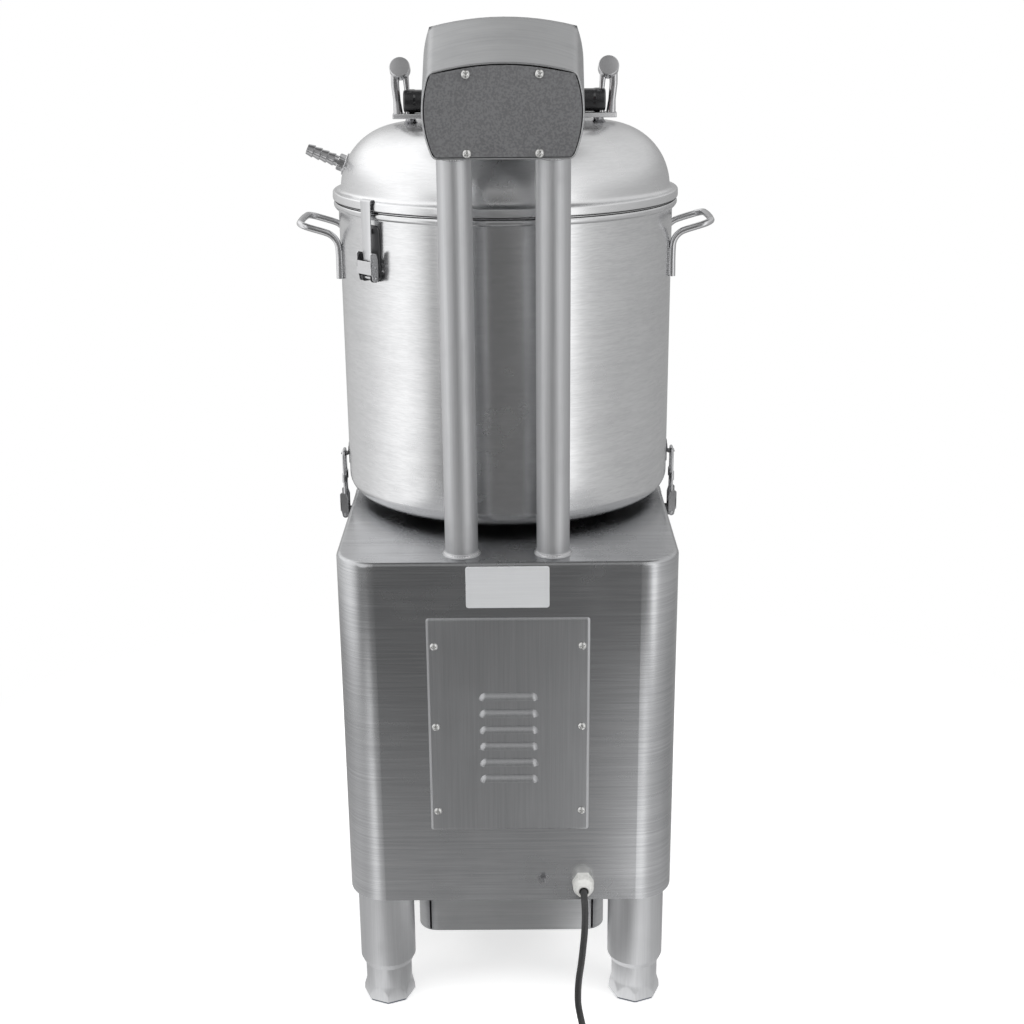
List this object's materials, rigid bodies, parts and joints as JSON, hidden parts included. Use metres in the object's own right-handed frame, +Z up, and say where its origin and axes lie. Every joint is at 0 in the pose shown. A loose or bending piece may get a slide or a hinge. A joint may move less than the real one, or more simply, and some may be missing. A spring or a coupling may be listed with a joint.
{
  "type": "electric potato peeler",
  "caption": "Floor-standing electric potato peeler: abrasive drum with a domed lid on a motor cabinet with legs, a peel tray and a control box on rear posts.",
  "frame": {"origin": "on the floor under the drum's axis, the middle of the object's box without its cord", "axes": "+Z up, the control panel and discharge door face -Y, the posts and cord are at +Y"},
  "size_m": [0.4964, 0.7887, 1.1555],
  "materials": {
    "brushed_sheet": "brushed, satin",
    "satin_drum": "satin, spun",
    "polished_lid": "soft polish",
    "polished_rod": "bright polish",
    "plated_fastener": "bright zinc",
    "matt_panel": "fine brushed, matt",
    "label_foil": "matt foil",
    "machined_steel": "turned",
    "cast_grey": "painted casting",
    "motor_paint": "semi-gloss enamel",
    "white_nylon": "moulded nylon",
    "black_plastic": "gloss moulding",
    "black_rubber": "matt",
    "abrasive": "coarse silicon-carbide grit",
    "green_button": "gloss moulding",
    "red_button": "gloss moulding",
    "cord_jacket": "matt jacket"
  },
  "bodies": {
    "root": {"cabinet_shell": "brushed_sheet", "cabinet_floor": "brushed_sheet", "rear_access_panel": "matt_panel", "nameplate": "label_foil", "pan_screws": "plated_fastener", "earth_screw": "plated_fastener", "cable_gland": "white_nylon", "legs": "brushed_sheet", "drain_duct": "machined_steel", "motor_bracket": "cast_grey", "motor_housing": "motor_paint", "drive_bolts": "plated_fastener", "v_belt": "black_rubber", "bearing_housing": "cast_grey", "shaft_bearings": "machined_steel", "shaft_seal": "black_rubber", "posts": "brushed_sheet", "control_box": "brushed_sheet", "box_rear_plate": "matt_panel", "control_panel": "matt_panel", "panel_fittings": "black_plastic", "drum_shell": "satin_drum", "drum_seat": "black_rubber", "drum_lining": "abrasive", "drum_handles": "polished_rod", "discharge_chute": "brushed_sheet", "latch_plates": "polished_rod", "power_cord": "cord_jacket", "cord_coil": "cord_jacket", "power_plug": "black_plastic"},
    "disc": {"abrasive_disc": "abrasive", "main_shaft": "machined_steel", "shaft_pulley": "cast_grey"},
    "motor_rotor": {"motor_shaft": "machined_steel", "motor_pulley": "cast_grey"},
    "tray": {"peel_tray": "brushed_sheet"},
    "door": {"discharge_door": "brushed_sheet", "door_seal": "black_rubber"},
    "door_turn": {"door_handle": "black_plastic"},
    "lid": {"lid_dome": "polished_lid", "lid_seal": "black_rubber", "lid_handle_frame": "polished_rod", "lid_handle_grip": "black_plastic", "water_inlet": "polished_rod"},
    "lid_lever_l": {"lid_lever_left": "polished_rod"},
    "lid_lever_r": {"lid_lever_right": "polished_rod"},
    "lid_strap_l": {"lid_strap_left": "polished_rod"},
    "lid_strap_r": {"lid_strap_right": "polished_rod"},
    "base_lever_l": {"base_lever_left": "polished_rod"},
    "base_lever_r": {"base_lever_right": "polished_rod"},
    "base_bail_l": {"base_bail_left": "polished_rod"},
    "base_bail_r": {"base_bail_right": "polished_rod"},
    "foot_a": {"foot_1": "satin_drum"},
    "foot_b": {"foot_2": "satin_drum"},
    "foot_c": {"foot_3": "satin_drum"},
    "foot_d": {"foot_4": "satin_drum"},
    "timer": {"timer_knob": "black_plastic"},
    "start": {"start_button": "green_button"},
    "stop": {"stop_button": "red_button"},
    "emergency": {"emergency_stop": "red_button"}
  },
  "joints": [
    {"name": "disc_spin", "type": "hinge", "parent": "root", "child": "disc", "pos_m": [0, 0, 0.63], "axis": [0, 0, 1], "continuous": true},
    {"name": "motor_spin", "type": "hinge", "parent": "root", "child": "motor_rotor", "pos_m": [0, 0.165, 0.255], "axis": [0, 0, 1], "continuous": true},
    {"name": "tray_slide", "type": "slide", "parent": "root", "child": "tray", "axis": [0, -1, 0], "range_m": [0, 0.36]},
    {"name": "door_swing", "type": "hinge", "parent": "root", "child": "door", "pos_m": [0, -0.26951, 0.816], "axis": [-1, 0, 0], "range_deg": [0, 100]},
    {"name": "door_handle_turn", "type": "hinge", "parent": "door", "child": "door_turn", "pos_m": [0, -0.2696, 0.745], "axis": [0, -1, 0], "range_deg": [0, 90]},
    {"name": "lid_lift", "type": "slide", "parent": "root", "child": "lid", "axis": [0, -0.766, 0.6428], "range_m": [0, 0.09]},
    {"name": "lid_lever_l_swing", "type": "hinge", "parent": "root", "child": "lid_lever_l", "pos_m": [0.15457, 0.13918, 0.876], "axis": [-0.6691, 0.7431, 0], "range_deg": [0, 151]},
    {"name": "lid_strap_l_swing", "type": "hinge", "parent": "lid_lever_l", "child": "lid_strap_l", "pos_m": [0.15457, 0.13918, 0.888], "axis": [-0.6691, 0.7431, 0], "range_deg": [0, 9]},
    {"name": "lid_lever_r_swing", "type": "hinge", "parent": "root", "child": "lid_lever_r", "pos_m": [-0.15457, -0.13918, 0.876], "axis": [0.6691, -0.7431, 0], "range_deg": [0, 151]},
    {"name": "lid_strap_r_swing", "type": "hinge", "parent": "lid_lever_r", "child": "lid_strap_r", "pos_m": [-0.15457, -0.13918, 0.888], "axis": [0.6691, -0.7431, 0], "range_deg": [0, 9]},
    {"name": "base_lever_l_swing", "type": "hinge", "parent": "root", "child": "base_lever_l", "pos_m": [0.208, 0, 0.55], "axis": [0, 1, 0], "range_deg": [0, 150]},
    {"name": "base_bail_l_swing", "type": "hinge", "parent": "base_lever_l", "child": "base_bail_l", "pos_m": [0.208, 0, 0.562], "axis": [0, 1, 0], "range_deg": [0, 9]},
    {"name": "base_lever_r_swing", "type": "hinge", "parent": "root", "child": "base_lever_r", "pos_m": [-0.208, 0, 0.55], "axis": [0, -1, 0], "range_deg": [0, 150]},
    {"name": "base_bail_r_swing", "type": "hinge", "parent": "base_lever_r", "child": "base_bail_r", "pos_m": [-0.208, 0, 0.562], "axis": [0, -1, 0], "range_deg": [0, 9]},
    {"name": "foot_a_screw", "type": "slide", "parent": "root", "child": "foot_a", "axis": [0, 0, -1], "range_m": [0, 0.02]},
    {"name": "foot_b_screw", "type": "slide", "parent": "root", "child": "foot_b", "axis": [0, 0, -1], "range_m": [0, 0.02]},
    {"name": "foot_c_screw", "type": "slide", "parent": "root", "child": "foot_c", "axis": [0, 0, -1], "range_m": [0, 0.02]},
    {"name": "foot_d_screw", "type": "slide", "parent": "root", "child": "foot_d", "axis": [0, 0, -1], "range_m": [0, 0.02]},
    {"name": "timer_turn", "type": "hinge", "parent": "root", "child": "timer", "pos_m": [0.045, 0.1232, 1.10775], "axis": [0, -1, 0], "range_deg": [0, 300]},
    {"name": "start_press", "type": "slide", "parent": "root", "child": "start", "axis": [0, 1, 0], "range_m": [0, 0.003], "stiffness_N_per_m": 600, "springref_m": -0.002},
    {"name": "stop_press", "type": "slide", "parent": "root", "child": "stop", "axis": [0, 1, 0], "range_m": [0, 0.003], "stiffness_N_per_m": 600, "springref_m": -0.002},
    {"name": "emergency_press", "type": "slide", "parent": "root", "child": "emergency", "axis": [0, 1, 0], "range_m": [0, 0.004], "stiffness_N_per_m": 900, "springref_m": -0.003}
  ],
  "couplings": [
    {"joint": "motor_spin", "follows": "disc_spin", "ratio": 3.6667},
    {"joint": "lid_lever_l_swing", "follows": "lid_lift", "rad_per_m": 29.089},
    {"joint": "lid_strap_l_swing", "follows": "lid_lift", "rad_per_m": 1.5514},
    {"joint": "lid_lever_r_swing", "follows": "lid_lift", "rad_per_m": 29.089},
    {"joint": "lid_strap_r_swing", "follows": "lid_lift", "rad_per_m": 1.5514},
    {"joint": "base_bail_l_swing", "follows": "base_lever_l_swing", "ratio": 0.05},
    {"joint": "base_bail_r_swing", "follows": "base_lever_r_swing", "ratio": 0.05}
  ]
}
